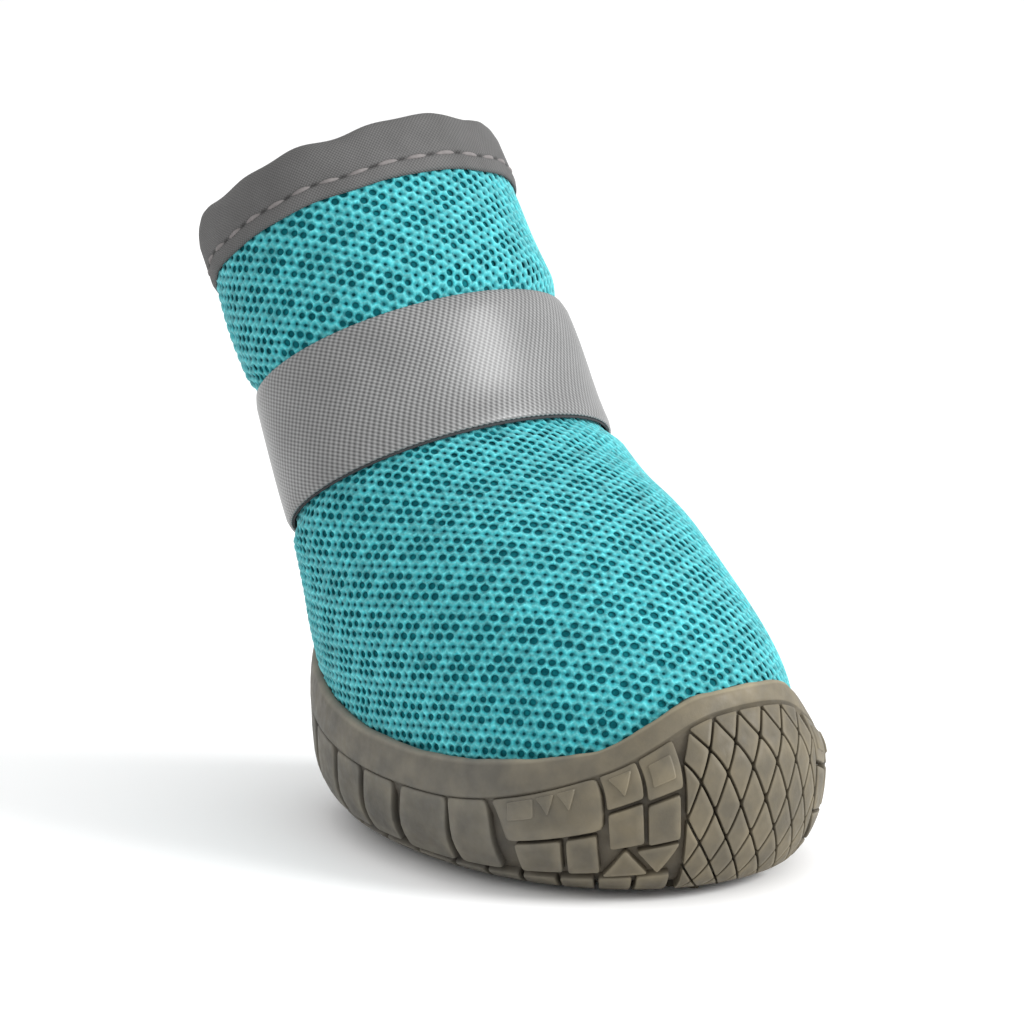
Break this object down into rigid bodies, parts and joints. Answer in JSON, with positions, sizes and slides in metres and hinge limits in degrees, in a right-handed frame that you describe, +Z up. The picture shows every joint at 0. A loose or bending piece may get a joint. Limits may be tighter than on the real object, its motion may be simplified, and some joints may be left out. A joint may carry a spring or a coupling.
{
  "type": "dog boot",
  "caption": "Dog boot with a lugged rubber cup sole, a hollow knitted mesh upper that leans back to a bound collar, an insole and a wrap strap.",
  "frame": {"origin": "middle of the boot's box, on the ground plane under the tread", "axes": "+X towards the toe, +Y towards the boot's left, +Z up"},
  "size_m": [0.102, 0.0558, 0.0948],
  "materials": {
    "rubber": "moulded, satin",
    "mesh": "knitted mesh",
    "lining": "brushed knit",
    "binding": "matte woven tape",
    "tape": "satin reflective woven tape"
  },
  "bodies": {
    "root": {"outsole": "rubber", "upper": "mesh", "insole": "lining", "collar_binding": "binding", "strap": "tape"}
  },
  "joints": []
}
